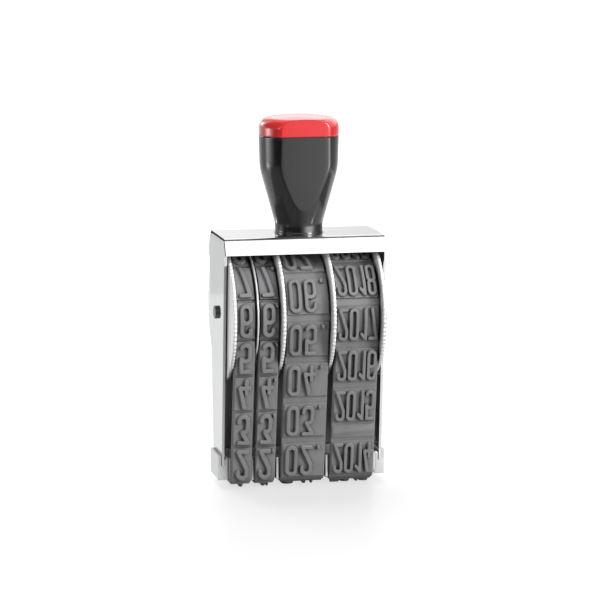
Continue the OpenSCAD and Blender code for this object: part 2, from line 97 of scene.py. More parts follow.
class Web:
    """Short-hand for wiring one material's shader nodes."""

    noise_span: Point2 = (0.3, 0.7)
    hollow_span: Point2 = (0.3, 0.9)
    facing_share: float = 0.9
    samples: int = 8

    def __init__(self, name: str) -> None:
        """Starts an empty material with a principled shader.

        Args:
            name: Name of the material.
        """
        self.material = bpy.data.materials.new(name)
        self.material.use_nodes = True
        self.tree = self.material.node_tree
        self.shader = next(n for n in self.tree.nodes if n.type == "BSDF_PRINCIPLED")
        self.space = add_node(self.tree, "TexCoord", {})
        self.place = self.space.outputs["Object"]

    def settle(self, values: dict[str, object]) -> None:
        """Sets the shader sockets that are the same all over the surface."""
        for socket, value in values.items():
            self.shader.inputs[socket].default_value = value

    def drive(self, value: Socket, socket: str) -> None:
        """Links a value that varies over the surface to a shader socket."""
        self.tree.links.new(value, self.shader.inputs[socket])

    def source(self, socket: str) -> Socket:
        """Gives the output that drives a shader socket so far."""
        return self.shader.inputs[socket].links[0].from_socket

    def noise(self, scale: Point3, detail: float) -> Socket:
        """Adds a noise texture in object space.

        Args:
            scale: Cells per metre along X, Y and Z.
            detail: Octaves of finer noise.

        Returns:
            The noise value, about 0.5 on average.
        """
        mapping = add_node(self.tree, "Mapping", {"Vector": self.place, "Scale": scale})
        sockets = {"Vector": mapping.outputs["Vector"], "Scale": 1.0, "Detail": detail}
        return add_node(self.tree, "TexNoise", sockets).outputs["Fac"]

    def cells(self, scale: float) -> Socket:
        """Gives the distance to the nearest middle in a texture with so many cells per metre."""
        return add_node(self.tree, "TexVoronoi", {"Vector": self.place, "Scale": scale}).outputs["Distance"]

    def spread(self, value: Socket, span: Point2, low: float, high: float) -> Socket:
        """Spreads the values of a span over the range from low to high."""
        sockets = {"Value": value, "From Min": span[0], "From Max": span[1], "To Min": low, "To Max": high}
        return add_node(self.tree, "MapRange", sockets).outputs["Result"]

    def mix(self, share: Socket, first: object, second: object) -> None:
        """Makes the base colour of two colours or outputs, with the second one's share."""
        node = add_node(self.tree, "Mix", {"Factor": share, "A": first, "B": second}, data_type="RGBA")
        self.drive(node.outputs["Result"], "Base Color")

    def tint(self, value: Socket, dark: Colour, light: Colour) -> None:
        """Mottles the base colour between a dark tone at 0 and a light one at 1."""
        self.mix(value, (*dark, 1.0), (*light, 1.0))

    def paint_end_shade(self, axis: str, tone: float) -> None:
        """Paints shade on the faces that look along an axis as a flat grey tone, and makes them dull as
        sheared sheet is.

        Args:
            axis: "X" or "Y".
            tone: Grey of the painted shade.
        """
        parts = add_node(self.tree, "SeparateXYZ", {0: self.space.outputs["Normal"]})
        along = calculate(self.tree, "ABSOLUTE", parts.outputs[axis])
        cut = calculate(self.tree, "GREATER_THAN", along, self.facing_share)
        self.mix(cut, self.source("Base Color"), (tone, tone, tone, 1.0))
        dull = calculate(self.tree, "MULTIPLY", cut, 1.0 - tone)
        self.drive(calculate(self.tree, "MAXIMUM", self.source("Roughness"), dull), "Roughness")

    def paint_hollow_shade(self, reach: float, share: float) -> None:
        """Paints shade into the corners and slots of the surface, darkening the colour by ambient occlusion.

        Args:
            reach: How far from a corner the painted shade reaches.
            share: Share of the colour that is left in the deepest slot.
        """
        hollow = add_node(self.tree, "AmbientOcclusion", {"Distance": reach * MM}, samples=self.samples)
        level = self.spread(hollow.outputs["AO"], self.hollow_span, share, 1.0)
        self.mix(level, (*BLACK, 1.0), self.source("Base Color"))

    def bump(self, height: Socket, depth: float, strength: float, edge_round: float) -> None:
        """Raises the surface by a height texture.

        Args:
            height: Height from 0 to 1.
            depth: Depth of the texture.
            strength: Share of the effect.
            edge_round: How far worn edges look rounded, or 0.
        """
        sockets = {"Height": height, "Distance": depth * MM, "Strength": strength}
        if edge_round:
            worn = add_node(self.tree, "Bevel", {"Radius": edge_round * MM}, samples=self.samples)
            sockets["Normal"] = worn.outputs["Normal"]
        self.drive(add_node(self.tree, "Bump", sockets).outputs["Normal"], "Normal")


class Grain(Enum):
    """Kinds of fine surface structure."""

    MOULDED = "moulded"
    RUBBER = "rubber"
    ROLLED = "rolled"
    TURNED = "turned"
    CAST = "cast"


# Cells per metre along X, Y and Z of the mottling and of the fine grain.
GRAIN_SCALES: dict[Grain, tuple[Point3, Point3]] = {
    Grain.MOULDED: ((60, 60, 60), (2600, 2600, 2600)),
    Grain.RUBBER: ((140, 140, 140), (3200, 3200, 3200)),
    Grain.ROLLED: ((22, 60, 60), (180, 5200, 5200)),
    Grain.TURNED: ((900, 40, 40), (2500, 700, 700)),
    Grain.CAST: ((160, 160, 160), (1500, 1500, 1500)),
}
MOTTLE_DETAIL = 5.0
GLOSS_DETAIL = 8.0
GRAIN_DETAIL = 3.0
COAT_ROUGHNESS = 0.1


@dataclass(frozen=True)
class Finish:
    """Colour, gloss and grain of one material."""

    name: str
    colour: Colour
    grain: Grain
    roughness: float
    roughness_swing: float = 0.05
    mottle: float = 0.08
    metallic: float = 0.0
    coat: float = 0.0
    specular: float = 0.5
    grain_depth: float = 0.02
    grain_strength: float = 0.3
    # The next four fields paint shade: a flat tone on the faces along one axis, and darkening in corners and
    # slots.
    shaded_end_axis: str = ""
    end_shade_tone: float = 0.012
    shade_reach: float = 0.0
    shade_share: float = 0.2
    edge_round: float = 0.0

    @lru_cache(maxsize=None)
    def material(self) -> bpy.types.Material:
        """Builds the node material once.

        Returns:
            The material.
        """
        web = Web(self.name)
        broad, fine = GRAIN_SCALES[self.grain]
        dark = tuple(c * (1.0 - self.mottle) for c in self.colour)
        light = tuple(min(1.0, c * (1.0 + self.mottle)) for c in self.colour)
        web.tint(web.spread(web.noise(broad, MOTTLE_DETAIL), web.noise_span, 0.0, 1.0), dark, light)
        gloss = web.spread(web.noise(broad, GLOSS_DETAIL), web.noise_span,
                           self.roughness - self.roughness_swing, self.roughness + self.roughness_swing)
        web.drive(gloss, "Roughness")
        # Painted shade: a flat dark tone on end faces, and darkening in corners and slots.
        if self.shaded_end_axis:
            web.paint_end_shade(self.shaded_end_axis, self.end_shade_tone)
        if self.shade_reach:
            web.paint_hollow_shade(self.shade_reach, self.shade_share)
        height = web.cells(fine[0]) if self.grain is Grain.MOULDED else web.noise(fine, GRAIN_DETAIL)
        web.bump(height, self.grain_depth, self.grain_strength, self.edge_round)
        web.settle({"Metallic": self.metallic, "Coat Weight": self.coat, "Coat Roughness": COAT_ROUGHNESS,
                    "Specular IOR Level": self.specular})
        return web.material


GRIP_PLASTIC = Finish("grip_plastic", (0.0048, 0.0048, 0.0052), Grain.MOULDED, roughness=0.15,
                      roughness_swing=0.03, specular=0.75, grain_depth=0.006, grain_strength=0.15)
CAP_PLASTIC = Finish("cap_plastic", (0.66, 0.009, 0.013), Grain.MOULDED, roughness=0.32, mottle=0.05,
                     coat=1.0, specular=0.2, grain_depth=0.006, grain_strength=0.12)
# Painted shade darkens the slots round the raised figures.
BAND_RUBBER = Finish("band_rubber", (0.188, 0.188, 0.192), Grain.RUBBER, roughness=0.62, specular=0.35,
                     grain_depth=0.03, grain_strength=0.35, shade_reach=2.5, shade_share=0.03)
DRUM_PLASTIC = Finish("drum_plastic", (0.035, 0.036, 0.04), Grain.MOULDED, roughness=0.5)
# A darker copy of the cover's plating, as painted shade on the side plates; the front and back edges get a
# flat painted shade.
PLATED_SHEET = Finish("plated_sheet", (0.48, 0.485, 0.49), Grain.ROLLED, roughness=0.09,
                      roughness_swing=0.03, mottle=0.03, metallic=1.0, grain_depth=0.003,
                      grain_strength=0.12, shaded_end_axis="Y", end_shade_tone=0.52)
# Painted shade on the cover's end faces and in its corners, such as round the handle's neck.
COVER_SHEET = Finish("cover_sheet", (0.90, 0.905, 0.91), Grain.ROLLED, roughness=0.08,
                     roughness_swing=0.02, mottle=0.03, metallic=1.0, grain_depth=0.003,
                     grain_strength=0.12, shaded_end_axis="X", shade_reach=1.8, shade_share=0.1)
# Painted shade darkens the discs' faces beside the bands.
PLATED_DISC = Finish("plated_disc", (0.80, 0.805, 0.81), Grain.TURNED, roughness=0.42, mottle=0.03,
                     metallic=0.35, grain_depth=0.004, grain_strength=0.12, shade_reach=4.0,
                     edge_round=1.6)
AXLE_STEEL = Finish("axle_steel", (0.11, 0.11, 0.115), Grain.TURNED, roughness=0.4, roughness_swing=0.06,
                    mottle=0.05, metallic=1.0, grain_depth=0.006, grain_strength=0.2)
ZINC_STEEL = Finish("zinc_steel", (0.56, 0.57, 0.58), Grain.TURNED, roughness=0.36, roughness_swing=0.08,
                    metallic=1.0)
# Painted shade darkens the joints and corners of the feet and platen.
CAST_METAL = Finish("cast_metal", (0.52, 0.525, 0.53), Grain.CAST, roughness=0.34, roughness_swing=0.06,
                    mottle=0.05, metallic=0.85, grain_depth=0.01, grain_strength=0.2, shade_reach=1.6,
                    shade_share=0.1, edge_round=0.6)
INSERT_BRASS = Finish("insert_brass", (0.68, 0.48, 0.20), Grain.TURNED, roughness=0.32,
                      roughness_swing=0.06, metallic=1.0)

NODE_FINISHES: dict[Finish, tuple[str, ...]] = {
    GRIP_PLASTIC: ("handle_grip",),
    CAP_PLASTIC: ("handle_cap",),
    INSERT_BRASS: ("handle_insert",),
    ZINC_STEEL: ("handle_screw", "screw_washer", "axle_washer_left", "axle_washer_right", "wave_washer"),
    COVER_SHEET: ("top_cover",),
    PLATED_SHEET: ("frame_yoke",),
    AXLE_STEEL: ("axle",),
    PLATED_DISC: ("guide_disc", "disc_day_tens", "disc_day_units", "disc_month", "disc_year"),
    DRUM_PLASTIC: ("drum_day_tens", "drum_day_units", "drum_month", "drum_year"),
    BAND_RUBBER: ("band_day_tens", "band_day_units", "band_month", "band_year"),
    CAST_METAL: ("platen", "foot_left", "foot_right"),
}


@dataclass
class MeshDraft:
    """Points and faces of one piece while it is being made."""

    points: list[Point3] = field(default_factory=list)
    faces: list[Face] = field(default_factory=list)

    def add(self, points: Array) -> int:
        """Adds points.

        Args:
            points: Rows of X, Y and Z.

        Returns:
            Index of the first new point.
        """
        start = len(self.points)
        self.points.extend(map(tuple, np.asarray(points, dtype=float) * MM))
        return start

    def skin(self, first: int, second: int, count: int) -> None:
        """Joins two closed rings of points by four-sided faces.

        Args:
            first: Index of the first point of one ring.
            second: Index of the first point of the other ring.
            count: Points in each ring.
        """
        for i in range(count):
            j = (i + 1) % count
            self.faces.append((first + i, first + j, second + j, second + i))

    def piece(self, name: str, finish: Finish, sharp_deg: float) -> Thing:
        """Makes the Blender object.

        Args:
            name: Name of the piece.
            finish: Its finish.
            sharp_deg: Edges sharper than this angle stay crisp.

        Returns:
            The object, in the scene.
        """
        mesh = bpy.data.meshes.new(name)
        mesh.from_pydata(self.points, [], self.faces)
        mesh.update()
        mesh.shade_smooth()
        mesh.set_sharp_from_angle(angle=math.radians(sharp_deg))
        mesh.materials.append(finish.material())
        thing = bpy.data.objects.new(name, mesh)
        bpy.context.scene.collection.objects.link(thing)
        return thing


def arc(middle: Point2, radius: float, start: float, end: float, steps: int = 14) -> list[Point2]:
    """Gives points on an arc, both ends included, between two angles in degrees from +X."""
    angles = np.radians(np.linspace(start, end, steps + 1))
    return [(middle[0] + radius * math.cos(a), middle[1] + radius * math.sin(a)) for a in angles]


@dataclass(frozen=True)
class TypeSize:
    """Proportions of the figures of one band."""

    height: float
    width: float
    stroke: float
    space: float
    mark_space: float = 0.4
    mark_half: float = 0.55

    def half(self, sign: str) -> float:
        """Gives half the width of the strokes of a sign."""
        return self.mark_half if sign == "." else self.stroke / 2

    def gap(self, sign: str) -> float:
        """Gives the space in front of a sign that follows another one."""
        return self.mark_space if sign == "." else self.space

    def strokes(self, sign: str) -> Strokes:
        """Gives the middles of a sign's strokes, upright, from the lower left of their box.

        Args:
            sign: One figure or mark.

        Returns:
            One list of points for each stroke.
        """
        w, h = self.width - self.stroke, self.height - self.stroke
        r = w / 2
        waist = 0.56 * h
        knee = 0.6 * h
        bar = 0.46 * h
        stem = 0.62 * w
        small = 0.92 * r
        low_bowl = arc((r, r), r, 0, -180) + [(0, r + 0.05 * h)]
        six = ([(w, h - r - 0.05 * h)] + arc((r, h - r), r, 0, 180) + arc((r, r), r, 180, 360)
               + arc((r, waist - r), r, 0, 180))
        forms: dict[str, Strokes] = {
            "0": [arc((r, h - r), r, 0, 180) + arc((r, r), r, 180, 360) + [(w, h - r)]],
            "1": [[(0, h - 0.17 * h), (stem, h), (stem, 0)]],
            "2": [[(0, h - r - 0.07 * h)] + arc((r, h - r), r, 180, 0) + [(w, 0.68 * h), (0, 0), (w, 0)]],
            "3": [[(0.04 * w, h), (w, h), (0.38 * w, knee)] + arc((r, knee - r), r, 80, 0) + low_bowl],
            "4": [[(0.5 * w, h), (0, 0.27 * h), (w, 0.27 * h)], [(0.72 * w, 0.48 * h), (0.72 * w, 0)]],
            "5": [[(0.94 * w, h), (0.06 * w, h), (0, 0.52 * h)] + arc((r, knee - r), r, 145, 0)
                  + arc((r, r), r, 0, -160)],
            "6": [six],
            "7": [[(0, h), (w, h), (0.34 * w, 0)]],
            "8": [arc((r, waist - r), r, 0, 180) + arc((r, r), r, 180, 360) + [(w, waist - r)],
                  arc((r, h - small), small, 0, 180) + arc((r, waist + small), small, 180, 360)
                  + [(r + small, h - small)]],
            "9": [[(w - x, h - y) for x, y in six]],
            "-": [[(0, bar), (w, bar)]],
            "/": [[(0, 0), (w, h)]],
            "+": [[(0, bar), (w, bar)], [(r, bar - r), (r, bar + r)]],
            ".": [[(0, 0), (0.1, 0.75)]],
        }
        return forms[sign]

    def advance(self, sign: str) -> float:
        """Gives the width of a sign over its strokes."""
        xs = [x for stroke in self.strokes(sign) for x, _ in stroke]
        return max(xs) - min(xs) + 2 * self.half(sign)


@dataclass(frozen=True)
class SignShape:
    """Outline of one sign and the triangles of its flat top."""

    rims: tuple[Array, ...]
    slopes: tuple[Array, ...]
    top: Array
    triangles: tuple[Face, ...]


@dataclass(frozen=True)
class SignCutter:
    """Cuts the outlines of signs as the lines at a fixed distance from their strokes."""

    cell: float = 0.14
    margin_cells: int = 6
    blur_passes: int = 2
    fewest_points: int = 9
    tolerance: float = 0.012
    longest_chord: float = 1.1
    top_inset: float = 0.16
    fill_step: Point2 = (0.55, 1.1)
    fill_margin: float = 0.3
    inside_share: float = 0.6
    weld: float = 1e-7

    @lru_cache(maxsize=None)
    def shape(self, size: TypeSize, sign: str) -> SignShape:
        """Makes the shape of one sign.

        Args:
            size: Proportions of the figures.
            sign: One figure or mark.

        Returns:
            Its outlines with their outward slopes, and its top.
        """
        strokes = size.strokes(sign)
        reach = size.half(sign)
        margin = reach + self.margin_cells * self.cell
        corners = np.array([p for s in strokes for p in s])
        low, high = corners.min(axis=0) - margin, corners.max(axis=0) + margin
        xs, ys = (np.arange(low[k], high[k] + self.cell, self.cell) for k in (0, 1))
        values = self.distance(strokes, *np.meshgrid(xs, ys, indexing="ij")) - reach
        for _ in range(self.blur_passes):
            values = self.blurred(values)
        slope_x, slope_y = np.gradient(values, self.cell)
        rims: list[Array] = []
        slopes: list[Array] = []
        for line in self.level_lines(xs, ys, values):
            rim = self.even(self.simplified(line))
            i, j = (np.clip(np.round((rim[:, k] - axis[0]) / self.cell).astype(int), 0, len(axis) - 1)
                    for k, axis in enumerate((xs, ys)))
            slope = np.stack([slope_x[i, j], slope_y[i, j]], axis=1)
            rims.append(rim)
            slopes.append(slope / np.maximum(np.linalg.norm(slope, axis=1, keepdims=True), TINY))
        top, triangles = self.top(rims, slopes, lambda p: self.distance(strokes, p[:, 0], p[:, 1]) - reach)
        return SignShape(tuple(rims), tuple(slopes), top, triangles)

    @staticmethod
    def distance(strokes: Strokes, x: Array, y: Array) -> Array:
        """Gives the distance from points to the nearest stroke middle.

        Args:
            strokes: Stroke middles.
            x: X of the points.
            y: Y of the points.

        Returns:
            The distances.
        """
        best = np.full(np.shape(x), np.inf)
        for stroke in strokes:
            for (ax, ay), (bx, by) in zip(stroke, stroke[1:]):
                dx, dy = bx - ax, by - ay
                share = np.clip(((x - ax) * dx + (y - ay) * dy) / max(dx * dx + dy * dy, TINY), 0, 1)
                best = np.minimum(best, np.hypot(x - ax - share * dx, y - ay - share * dy))
        return best

    @staticmethod
    def blurred(values: Array) -> Array:
        """Averages each value of a grid with its neighbours.

        Args:
            values: Values on the grid.

        Returns:
            The averages.
        """
        padded = np.pad(values, 1, mode="edge")
        rows = (padded[:-2] + 2 * padded[1:-1] + padded[2:]) / 4
        return (rows[:, :-2] + 2 * rows[:, 1:-1] + rows[:, 2:]) / 4

    def level_lines(self, xs: Array, ys: Array, values: Array) -> list[Array]:
        """Follows the closed lines where a field is zero.

        Args:
            xs: X of the grid columns.
            ys: Y of the grid rows.
            values: Field on the grid.

        Returns:
            One array of points for each line, with the inside to the left.
        """
        onward: dict[tuple, tuple] = {}
        inside = values < 0
        count = sum(inside[i:len(xs) - 1 + i, j:len(ys) - 1 + j].astype(int) for i in (0, 1) for j in (0, 1))
        for i, j in zip(*np.nonzero((count > 0) & (count < 4))):
            ring = [(i, j), (i + 1, j), (i + 1, j + 1), (i, j + 1)]
            sides = list(zip(ring, ring[1:] + ring[:1]))
            leave = [(min(side), max(side)) for side in sides if inside[side[0]] and not inside[side[1]]]
            enter = [(min(side), max(side)) for side in sides if inside[side[1]] and not inside[side[0]]]
            onward.update(zip(leave, enter))
        lines: list[Array] = []
        while onward:
            start = next(iter(onward))
            keys = [start]
            key = onward.pop(start)
            while key != start and key in onward:
                keys.append(key)
                key = onward.pop(key)
            line = []
            for a, b in keys:
                share = values[a] / (values[a] - values[b])
                line.append([axis[p] + share * (axis[q] - axis[p]) for axis, p, q in zip((xs, ys), a, b)])
            if len(line) >= self.fewest_points:
                lines.append(np.array(line))
        return lines

    def simplified(self, line: Array) -> Array:
        """Drops the points of a closed line that lie within the tolerance of their chords.

        Args:
            line: Points of the closed line.

        Returns:
            The points that are kept.
        """
        far = int(np.argmax(np.linalg.norm(line - line[0], axis=1)))
        keep = {0, far}
        spans = [(0, far), (far, len(line))]
        ring = np.vstack([line, line[:1]])
        while spans:
            a, b = spans.pop()
            if b - a < 2:
                continue
            chord = ring[b] - ring[a]
            away = ring[a + 1:b] - ring[a]
            off = np.abs(chord[0] * away[:, 1] - chord[1] * away[:, 0]) / max(np.linalg.norm(chord), TINY)
            worst = int(np.argmax(off))
            if off[worst] > self.tolerance:
                middle = a + 1 + worst
                keep.add(middle)
                spans += [(a, middle), (middle, b)]
        return line[sorted(keep)]

    def even(self, rim: Array) -> Array:
        """Splits the long chords of a closed line.

        Args:
            rim: Points of the closed line.

        Returns:
            Points with no chord longer than the longest that is allowed.
        """
        points: list[Array] = []
        for a, b in zip(rim, np.roll(rim, -1, axis=0)):
            parts = max(1, math.ceil(float(np.linalg.norm(b - a)) / self.longest_chord))
            points += [a + (b - a) * k / parts for k in range(parts)]
        return np.array(points)

    def top(self, rims: list[Array], slopes: list[Array],
            outside: Callable[[Array], Array]) -> tuple[Array, tuple[Face, ...]]:
        """Fills the flat top of a sign with triangles.

        Args:
            rims: Outlines of the sign.
            slopes: Outward directions on the outlines.
            outside: Field that is negative inside the sign.

        Returns:
            The points, those of the outlines first, and the triangles.
        """
        rings = [rim - self.top_inset * slope for rim, slope in zip(rims, slopes)]
        edges: list[tuple[int, int]] = []
        for ring in rings:
            start = len(edges)
            edges += [(start + k, start + (k + 1) % len(ring)) for k in range(len(ring))]
        points = np.vstack(rings)
        low, high = points.min(axis=0), points.max(axis=0)
        steps = (np.arange(low[k], high[k], self.fill_step[k]) for k in (0, 1))
        grid = np.stack(np.meshgrid(*steps), axis=-1).reshape(-1, 2)
        grid = grid[outside(grid) < -self.fill_margin - self.top_inset]
        every = np.vstack([points, grid])
        found = delaunay_2d_cdt([Vector(p) for p in every], edges, [], 0, self.weld)
        spots = np.array([tuple(p) for p in found[0]])
        triangles = [tuple(t) for t in found[2]]
        middles = np.array([spots[list(t)].mean(axis=0) for t in triangles])
        inside = outside(middles) < -self.inside_share * self.top_inset
        return spots, tuple(t for t, good in zip(triangles, inside) if good)


@dataclass(frozen=True)
class BandLoop:
    """Path of the inner face of every band, across the axle."""

    axle_z: float = 83.8
    wrap_r: float = 25.0
    edge_y: float = 10.2
    edge_z: float = 6.09
    edge_r: float = 2.1
    band_t: float = 4.0
    middle: float = 0.9

    @cached_property
    def span(self) -> float:
        """Distance from the middle of the platen's edge to the axle."""
        return math.hypot(self.edge_y, self.axle_z - self.edge_z)

    @cached_property
    def tilt(self) -> float:
        """Lean of the straight runs from upright, in radians."""
        return (math.asin((self.wrap_r - self.edge_r) / self.span)
                - math.atan2(self.edge_y, self.axle_z - self.edge_z))

    @cached_property
    def run_start(self) -> float:
        """Distance along the loop to the lower end of a straight run."""
        return self.edge_y + (self.edge_r + self.middle) * (math.pi / 2 - self.tilt)

    @cached_property
    def wrap_start(self) -> float:
        """Distance along the loop to the upper end of a straight run."""
        return self.run_start + math.sqrt(self.span ** 2 - (self.wrap_r - self.edge_r) ** 2)

    @cached_property
    def length(self) -> float:
        """Length of the loop along the middle of the strip."""
        return 2 * self.wrap_start + (self.wrap_r + self.middle) * (math.pi + 2 * self.tilt)

    def turned(self, along: Array) -> Array:
        """Counts distances along the loop from the middle of the platen, either way."""
        return (along + self.length / 2) % self.length - self.length / 2

    def place(self, x: Array, along: Array, height: Array) -> Array:
        """Lays points of a flat band on the loop.

        Args:
            x: Places across the band.
            along: Distances from the middle of the platen, up the front.
            height: Heights above the inner face.

        Returns:
            Rows of X, Y and Z.
        """
        x, along, height = np.broadcast_arrays(*(np.asarray(v, dtype=float) for v in (x, along, height)))
        turned = self.turned(along)
        u = np.abs(turned)
        full = math.pi / 2 - self.tilt
        edge_angle = np.clip((u - self.edge_y) / (self.edge_r + self.middle), 0, full)
        wrap_angle = full + np.maximum(u - self.wrap_start, 0) / (self.wrap_r + self.middle)
        run = np.clip(u - self.run_start, 0, self.wrap_start - self.run_start)
        on_wrap = u > self.wrap_start
        radius = np.where(on_wrap, self.wrap_r, self.edge_r) + height
        angle = np.where(on_wrap, wrap_angle, edge_angle)
        y = np.where(on_wrap, 0.0, np.minimum(u, self.edge_y) + run * math.cos(full)) + radius * np.sin(angle)
        z = np.where(on_wrap, self.axle_z, self.edge_z + run * math.sin(full)) - radius * np.cos(angle)
        return np.stack([x, -np.sign(turned) * y, z], axis=-1)


@dataclass
class TypeBand:
    """One rubber band: strip, lands and raised figures."""

    node: str
    left: float
    width: float
    size: TypeSize
    signs_left: float
    texts: dict[int, str]
    pitch: float
    shift: float
    join: float = 0.0
    join_fall: float = 0.55
    join_step: float = 0.3
    join_foot: float = 0.32
    strip_t: float = 1.8
    inner_edge: float = 0.15
    outer_edge: tuple[Point2, Point2] = ((0.0, 0.25), (0.12, 0.04))
    land_h: float = 0.8
    land_l: float = 16.4
    land_margin: float = 0.3
    land_draft: float = 0.35
    land_edge: Point2 = (0.28, 0.12)
    type_draft: float = 0.34
    type_root: float = 0.06
    edge_soft: float = 0.14
    step: float = 1.1
    least_step: float = 0.3
    sharp_deg: float = 32.0
    loop: BandLoop = BandLoop()
    cutter: SignCutter = SignCutter()

    def row_place(self, row: int) -> float:
        """Gives the distance along the loop to the middle of a row."""
        return row * self.pitch + self.shift + (self.join if row > 1 else 0.0)

    @property
    def join_middle(self) -> float:
        """Distance along the loop to the middle of the joint of the strip."""
        return (self.row_place(1) + self.row_place(2)) / 2

    def lift(self, along: Array) -> Array:
        """Gives how far the top of the strip is raised.

        Args:
            along: Distances along the loop.

        Returns:
            Heights above the strip.
        """
        result = np.zeros_like(along)
        for row in self.texts:
            away = np.abs(self.loop.turned(along - self.row_place(row)))
            ramp = np.clip((self.land_l / 2 + self.land_draft - away) / self.land_draft, 0, 1)
            result = np.maximum(result, self.land_h * ramp)
        if self.join:
            half = self.join / 2
            away = np.abs(along - self.join_middle)
            roof = np.clip(1 - self.join_fall * away / half, 0, 1) * (away < half + self.join_step)
            result = np.maximum(result, self.land_h * roof)
        return result

    def stations(self) -> Array:
        """Lists the places where the strip has a section.

        Returns:
            Distances along the loop, in order.
        """
        marks = []
        for row in self.texts:
            for side in (-1, 1):
                end = self.row_place(row) + side * self.land_l / 2
                marks += [end, end + side * self.land_draft]
        if self.join:
            away = (0.0, self.join / 2, self.join / 2 + self.join_foot)
            marks += [self.join_middle + side * d for side in (-1, 1) for d in away]
        marks = self.loop.turned(np.array(marks))
        even = np.arange(-self.loop.length / 2, self.loop.length / 2, self.step)
        even = even[[np.abs(marks - e).min() > self.least_step for e in even]]
        return np.unique(np.round(np.concatenate([marks, even]), 4))

    def strip(self, draft: MeshDraft) -> None:
        """Adds the strip with its lands.

        Args:
            draft: Mesh that is being made.
        """
        along = self.stations()
        lift = self.lift(along)
        share = lift / self.land_h
        top = self.strip_t + lift
        foot = self.land_margin
        slope, drop = self.land_edge
        half = [(self.inner_edge, 0.0), (0.0, self.inner_edge)]
        half += [(inset, self.strip_t - down) for inset, down in self.outer_edge]
        half += [(foot, self.strip_t), (foot + slope * share, top - drop * share),
                 (foot + slope * share + self.edge_soft, top)]
        ring = half + [(self.width - x, h) for x, h in reversed(half)]
        sections = np.stack([self.loop.place(self.left + x, along, h) for x, h in ring], axis=1)
        starts = [draft.add(section) for section in sections]
        for here, there in zip(starts, starts[1:] + starts[:1]):
            draft.skin(here, there, len(ring))

    def sign(self, draft: MeshDraft, sign: str, x: float, middle: float) -> None:
        """Adds one raised sign, which reads upside down from the front.

        Args:
            draft: Mesh that is being made.
            sign: One figure or mark.
            x: Left edge of the sign.
            middle: Middle of its row along the loop.
        """
        shape = self.cutter.shape(self.size, sign)
        reach = self.size.half(sign)
        root = self.strip_t + self.land_h - self.type_root
        levels = ((self.type_draft, root), (0.0, self.loop.band_t - self.edge_soft))

        def lay(flat: Array, height: float) -> Array:
            """Lays flat points of the sign on the loop."""
            along = middle + self.size.height / 2 - reach - flat[:, 1]
            return self.loop.place(x + reach + flat[:, 0], along, height)

        crown = draft.add(lay(shape.top, self.loop.band_t))
        offset = 0
        for rim, slope in zip(shape.rims, shape.slopes):
            rings = [draft.add(lay(rim + out * slope, height)) for out, height in levels]
            rings.append(crown + offset)
            for lower, upper in zip(rings, rings[1:]):
                draft.skin(lower, upper, len(rim))
            offset += len(rim)
        draft.faces += [tuple(crown + k for k in t) for t in shape.triangles]

    def build(self) -> Thing:
        """Builds the band and lets it stand for its CAD node.

        Returns:
            The piece.
        """
        draft = MeshDraft()
        self.strip(draft)
        for row, text in self.texts.items():
            x = self.left + self.signs_left
            for index, sign in enumerate(text):
                x += self.size.gap(sign) if index else 0.0
                self.sign(draft, sign, x, self.row_place(row))
                x += self.size.advance(sign)
        piece = draft.piece(f"{self.node}_type", BAND_RUBBER, self.sharp_deg)
        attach(piece, FRAME_BODY)
        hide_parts(self.node)
        return piece


@dataclass(frozen=True)
class FlattedRound:
    """Level outline of the handle: a circle with a flat in front and one behind."""

    crease: float = 0.6
    least_crease: float = 0.1
    shallow_crease: float = 0.15
    round_points: int = 22
    crease_points: int = 7
    flat_points: int = 10
    last_crease: float = math.radians(84)
    least_half: float = math.radians(1.6)
    most_half: float = 0.8
    least_sine: float = 0.05

    def outline(self, radius: float, flat: float) -> Array:
        """Gives the outline, its points gathered at the creases beside the flats.

        Args:
            radius: Radius of the circle.
            flat: Distance from the middle to each flat.

        Returns:
            Rows of X and Y, counter-clockwise from +X.
        """
        crease = min(self.crease, max(self.least_crease, self.shallow_crease * (radius - flat)))
        middle = math.asin(min(flat / radius, math.sin(self.last_crease)))
        slope = flat * math.cos(middle) / math.sin(middle) ** 2
        half = min(max(crease / slope, self.least_half), self.most_half * (math.pi / 2 - middle))
        quarter = np.concatenate([np.linspace(0, middle - half, self.round_points),
                                  np.linspace(middle - half, middle + half, self.crease_points)[1:],
                                  np.linspace(middle + half, math.pi / 2, self.flat_points)[1:]])
        half_turn = np.concatenate([quarter, math.pi - quarter[-2::-1]])
        angles = np.concatenate([half_turn, half_turn[1:-1] + math.pi])
        cut = flat / np.maximum(np.abs(np.sin(angles)), self.least_sine)
        blend = np.maximum(crease - np.abs(radius - cut), 0) ** 2 / (4 * crease)
        reach = np.minimum(radius, cut) - blend
        return np.stack([reach * np.cos(angles), reach * np.sin(angles)], axis=1)


